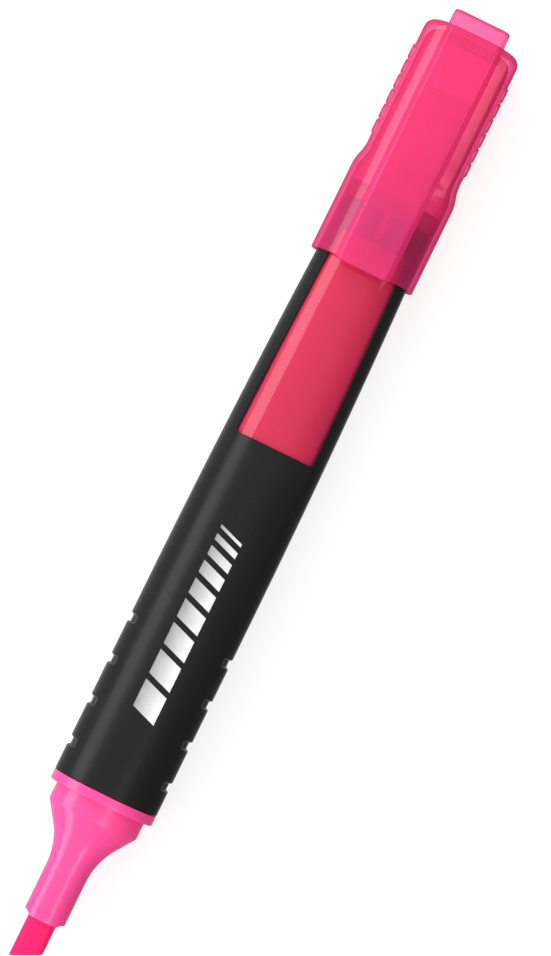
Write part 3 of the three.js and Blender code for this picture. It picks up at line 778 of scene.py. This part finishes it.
def rib_height(x):
    """How far the ribs stand out at x."""
    height = 0.0
    for i in range(RIB_COUNT):
        middle = RIB_FIRST + RIB_PITCH * i + RIB_LENGTH / 2
        half = RIB_LENGTH / 2
        flank = smooth_step(half + RIB_FALL, half - RIB_RISE, abs(x - middle))
        height = max(height, RIB_HEIGHT * float(flank))
    return height


def cap_rings():
    """The cap from the bottom of its hollow to its mouth, and back outside over the ribs."""
    hollow_end = CAP_LENGTH - CAP_END_WALL
    inner = [
        (hollow_end, 0, 0, 0),
        cap_corner(hollow_end, CAP_STEP_DEPTH + CAP_WALL, CAP_CORNER - 0.9),
        cap_corner(CAP_STEP - 0.4, CAP_STEP_DEPTH + CAP_WALL, 0.9),
        cap_corner(CAP_COLLAR - 0.5, CAP_WALL, 0.9),
        cap_corner(0, CAP_WALL, 0.15),
        cap_corner(0, 0, 0.2),
        cap_corner(CAP_COLLAR, 0, 1.1),
        cap_corner(CAP_STEP, CAP_STEP_DEPTH, 1.1),
        cap_corner(RIB_FIRST - 0.5, CAP_STEP_DEPTH),
    ]
    rings = oval_rings(rounded(inner, steps=8), cap_power)
    for x in np.arange(FIRST_RIB_RING, RIB_FIRST + RIB_PITCH * RIB_COUNT, FINE_STEP):
        w, t = cap_corner(x, CAP_STEP_DEPTH)[1:3]
        height = np.abs(oval_ring(x, w, t, power=cap_power(x))[:, 2])
        share = 1 - smooth_step(RIB_REACH, RIB_END, height)
        rings.append(oval_ring(x, w, t, -rib_height(x) * share, cap_power(x)))
    end = [
        cap_corner(CAP_LENGTH - CAP_CORNER - 0.2, CAP_STEP_DEPTH),
        cap_corner(CAP_LENGTH, CAP_STEP_DEPTH, CAP_CORNER),
        (CAP_LENGTH, 0, 0, 0),
    ]
    return rings + oval_rings(rounded(end, steps=12), cap_power)


cap_pink = tinted_plastic("cap_pink", TINT, BODY_PINK, 0.22, 0.1)
cap = skin("cap_body", cap_rings(), CAP_START)
dress(cap, cap_pink, "cap")
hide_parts("cap_shell")


# ---- Inner cap -------------------------------------------------------------------------
# The liner is a flange across the cap with a blind tube that closes on the neck, so that
# the nib doesn't dry out. It is moulded in the same pink and pressed in from the mouth.

liner_low, liner_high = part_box("cap_liner")
LINER_FACE = (liner_low.x - CAP_START.x) / MM
LINER_END = (liner_high.x - CAP_START.x) / MM
FLANGE_END = LINER_FACE + 2.65
LINER_WALL, LINER_GAP, LINER_LEAD = 0.8, 0.2, 0.4
LINER_FIT = 0.15
LINER_WIDTH, LINER_THICK = NECK_WIDTH + LINER_FIT, NECK_THICK + LINER_FIT
tube = (LINER_WIDTH + LINER_WALL, LINER_THICK + LINER_WALL)
liner_corners = [
    (LINER_END - LINER_WALL, 0, 0, 0),
    (LINER_END - LINER_WALL, LINER_WIDTH, LINER_THICK, 0.8),
    (LINER_FACE + 3 * LINER_LEAD, LINER_WIDTH, LINER_THICK, 0.3),
    (LINER_FACE, LINER_WIDTH + LINER_LEAD, LINER_THICK + LINER_LEAD, 0.2),
    cap_corner(LINER_FACE, CAP_WALL + LINER_GAP, 0.3),
    cap_corner(FLANGE_END, CAP_WALL + LINER_GAP, 0.3),
    (FLANGE_END, *tube, 0.5),
    (LINER_END, *tube, 1.0),
    (LINER_END, 0, 0, 0),
]
liner = skin("inner_cap", oval_rings(rounded(liner_corners)), CAP_START)
liner_pink = tinted_plastic("liner_pink", (0.7, 0.3, 0.5), (0.7, 0.03, 0.14), 0.3, 0.25)
dress(liner, liner_pink, "cap")

# The tube's wall is thin beside the flange, so it is paler.
liner_thin = tinted_plastic("liner_thin", (1.0, 0.75, 0.87), BODY_PINK, 0.06, 0.25)
liner.data.materials.append(liner_thin)
thin_from = CAP_START.x + (FLANGE_END + 0.1) * MM
for face in liner.data.polygons:
    if face.center.x > thin_from:
        face.material_index = 1
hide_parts("cap_liner")


# ---- Clip ------------------------------------------------------------------------------
# The clip is moulded in one with the cap: a flat bar with bevelled edges that is rooted in
# a heel at the closed end, where it runs out past the cap as a sloping tab. A small nub
# under its free end pinches the pocket's cloth.

clip_low, clip_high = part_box("pocket_clip")
CLIP_TOP = (clip_high.z - CAP_START.z) / MM
CLIP_FREE = (clip_low.x - CAP_START.x) / MM
CLIP_ROOT = (clip_high.x - CAP_START.x) / MM
CLIP_UNDER = CLIP_TOP - 1.5
CLIP_WIDTH, CLIP_BEVEL, CLIP_CORNER = 4.74, 0.8, 0.65
UNDER_BEVEL, EDGE_SOFT = 0.25, 0.22
END_FALL = 0.3
TAB_END = (shell_high.x - CAP_START.x) / MM
TAB_FALL, TAB_EDGE, TAB_DRAW = 0.6, 1.0, 0.35
HEEL_FOOT = 4.3
# The clip is one moulding with the shell, yet its pink is paler than BODY_PINK: painted light
# on the clip's top face, which the lamps light most.
CLIP_LIT_PINK = (1.0, 0.078, 0.36)


def bar_ring(x, half_width, top, under, bevel):
    """The clip's cross-section: flat top and underside, bevelled and softened edges."""
    right = [
        (0, under),
        (half_width - UNDER_BEVEL, under),
        (half_width, under + UNDER_BEVEL),
        (half_width, top - bevel),
        (half_width - bevel, top),
        (0, top),
    ]
    soft = rounded([(0, y, z, EDGE_SOFT) for y, z in right], steps=4)
    half = [(x, p[1], p[2]) for p in soft]
    return np.array(half + [(px, -py, pz) for px, py, pz in reversed(half[1:-1])])


def clip_rings():
    """The clip from its rounded free end over the heel to the sloping tab's rounded end."""
    rings = [np.array([[CLIP_FREE, 0, (CLIP_TOP + CLIP_UNDER) / 2]])]
    for bend in np.linspace(0, math.pi / 2, 7):
        x = CLIP_FREE + CLIP_CORNER * (1 - math.cos(bend))
        width = CLIP_WIDTH - CLIP_CORNER * (1 - math.sin(bend))
        fall = END_FALL * (1 - math.sin(bend))
        bevel = CLIP_BEVEL - fall / 2
        rings.append(bar_ring(x, width, CLIP_TOP - fall, CLIP_UNDER + fall, bevel))
    for x in np.arange(CLIP_FREE + 1.5, CLIP_ROOT, 0.8):
        rings.append(bar_ring(x, CLIP_WIDTH, CLIP_TOP, CLIP_UNDER, CLIP_BEVEL))
    for step, drop in ((0, 0), (0.1, 0.1), (0.2, 0.4)):
        x = CLIP_ROOT + step
        rings.append(bar_ring(x, CLIP_WIDTH, CLIP_TOP, CLIP_UNDER - drop, CLIP_BEVEL))
    slope_start = CLIP_ROOT + 0.4
    slope = TAB_FALL / (TAB_END - TAB_EDGE - slope_start)
    for x in (CLIP_ROOT + 0.3, CLIP_ROOT + 0.5, CLIP_ROOT + 1.5, TAB_END - TAB_EDGE):
        top = CLIP_TOP - slope * max(0, x - slope_start)
        rings.append(bar_ring(x, CLIP_WIDTH, top, HEEL_FOOT, CLIP_BEVEL))
    for bend in np.linspace(0, math.pi / 2, 7)[1:]:
        x = TAB_END - TAB_EDGE * (1 - math.sin(bend))
        top = CLIP_TOP - TAB_FALL - TAB_EDGE * (1 - math.cos(bend))
        draw = TAB_DRAW * (1 - math.cos(bend))
        rings.append(bar_ring(x, CLIP_WIDTH - draw, top, HEEL_FOOT + draw, CLIP_BEVEL))
    rings.append(np.array([[TAB_END, 0, (CLIP_TOP + HEEL_FOOT) / 2]]))
    return rings


clip = skin("clip_bar", clip_rings(), CAP_START)
# This material's paler pink is painted light; the nub under the clip shares it.
clip_lit_pink = tinted_plastic("clip_lit_pink", TINT, CLIP_LIT_PINK, 0.29, 0.1)
dress(clip, clip_lit_pink, "cap", edge_angle=40)

# The clip bends at its root on the real pen; here it is taken off the cap's body and left with
# no parent, fixed where it stands.
clip.parent = None
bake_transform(clip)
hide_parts("pocket_clip")

NUB_START, NUB_END, NUB_WIDTH, NUB_DROP = 5.4, 9.4, 0.55, 0.5
nub_profile = [
    (NUB_START - 0.5, NUB_WIDTH - 0.1, 0.05),
    (NUB_START - 0.2, NUB_WIDTH, 0.3),
    (NUB_START + 0.2, NUB_WIDTH, NUB_DROP),
    (NUB_END - 0.2, NUB_WIDTH, NUB_DROP),
    (NUB_END + 0.2, NUB_WIDTH, 0.3),
    (NUB_END + 0.5, NUB_WIDTH - 0.1, 0.05),
]
nub_rings = [
    bar_ring(x, width, CLIP_UNDER + 0.1, CLIP_UNDER - drop, 0.05)
    for x, width, drop in nub_profile
]
nub_ends = [
    np.array([[ring[0][0], 0, ring[:, 2].mean()]]) for ring in (nub_rings[0], nub_rings[-1])
]
nub = skin("clip_nub", [nub_ends[0], *nub_rings, nub_ends[1]], CAP_START)
dress(nub, clip_lit_pink, "clip")


# ---- Table, light and camera -----------------------------------------------------------
# The pen lies on a white table that glows a little. A long soft box stands to its left, a
# short one lights the cap from the right, a narrow one hangs over the nib, and a wide sheet
# over them all softens the shadows. The room is darker at the right.

TABLE_HALF = 12.0
table_mesh = bpy.data.meshes.new("table")
table_mesh.from_pydata(
    [(sx * TABLE_HALF, sy * TABLE_HALF, 0) for sx, sy in ((-1, -1), (1, -1), (1, 1), (-1, 1))],
    [],
    [(0, 1, 2, 3)],
)
table = bpy.data.objects.new("table", table_mesh)
bpy.context.scene.collection.objects.link(table)
table_white = satin_plastic("table_white", (0.33, 0.33, 0.33), 0.9, specular=0.0)
glow = table_white.node_tree.nodes["Principled BSDF"]
glow.inputs["Emission Color"].default_value = (1, 1, 1, 1)
glow.inputs["Emission Strength"].default_value = 0.76
table_mesh.materials.append(table_white)
table.visible_glossy = False
table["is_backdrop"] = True

world = bpy.data.worlds.new("room")
world.use_nodes = True
room_nodes, room_links = world.node_tree.nodes, world.node_tree.links
direction = room_nodes.new("ShaderNodeTexCoord")
split = room_nodes.new("ShaderNodeSeparateXYZ")
room_links.new(direction.outputs["Generated"], split.inputs["Vector"])
shade = between(world, split.outputs["Y"], 0.17, 0.62, -0.75, 0.1)
shade.interpolation_type = "SMOOTHSTEP"
room_links.new(shade.outputs["Result"], room_nodes["Background"].inputs["Strength"])
room_nodes["Background"].inputs["Color"].default_value = (1, 1, 1, 1)
bpy.context.scene.world = world
bpy.context.scene.view_settings.view_transform = "Standard"
bpy.context.scene.cycles.transparent_max_bounces = 32


def soft_box(name, middle_x, angle, distance, length, width, radiance, in_gloss=True):
    """An area light over or beside the pen: angle is from straight up, towards +Y."""
    data = bpy.data.lights.new(name, "AREA")
    data.shape = "RECTANGLE"
    data.size, data.size_y = length, width
    data.energy = radiance * math.pi * length * width
    light = bpy.data.objects.new(name, data)
    tilt = math.radians(angle)
    light.location = (middle_x, distance * math.sin(tilt), distance * math.cos(tilt))
    light.rotation_euler = (-tilt, 0, 0)
    light.visible_glossy = in_gloss
    bpy.context.scene.collection.objects.link(light)


soft_box("key_box", -0.2, 47, distance=0.6, length=2.2, width=0.31, radiance=3.0)
soft_box("cap_box", 0.212, -55, distance=0.6, length=0.17, width=0.42, radiance=1.9)
soft_box("nib_box", -0.41, -13, distance=0.62, length=0.6, width=0.12, radiance=3.0)
soft_box("fill_sheet", 0.0, 20, 1.0, length=2.4, width=0.95, radiance=0.8, in_gloss=False)

CAMERA_HEIGHT = 603.0
LENGTH_IN_VIEW = 149.375
SENSOR = 36
EYE_PLACE = Vector((41.65, 0, CAMERA_HEIGHT))
AIM_PLACE = Vector((55.55, -2.23, 0))
VIEW_TURN = math.radians(63.9)
camera_data = bpy.data.cameras.new("camera")
camera_data.sensor_width = SENSOR
camera_data.lens = CAMERA_HEIGHT * SENSOR / LENGTH_IN_VIEW
camera = bpy.data.objects.new("camera", camera_data)
up = Vector((math.sin(VIEW_TURN), math.cos(VIEW_TURN), 0))
look = (AIM_PLACE - EYE_PLACE).normalized()
right = look.cross(up).normalized()
facing = Matrix((right, right.cross(look), -look)).transposed().to_4x4()
camera.matrix_world = Matrix.Translation(PEN_START + EYE_PLACE * MM) @ facing
bpy.context.scene.collection.objects.link(camera)
bpy.context.scene.camera = camera

boxes = {"cad": cad_box, "visual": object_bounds()}
{k: [list(map(float, corner)) for corner in b] for k, b in boxes.items()}
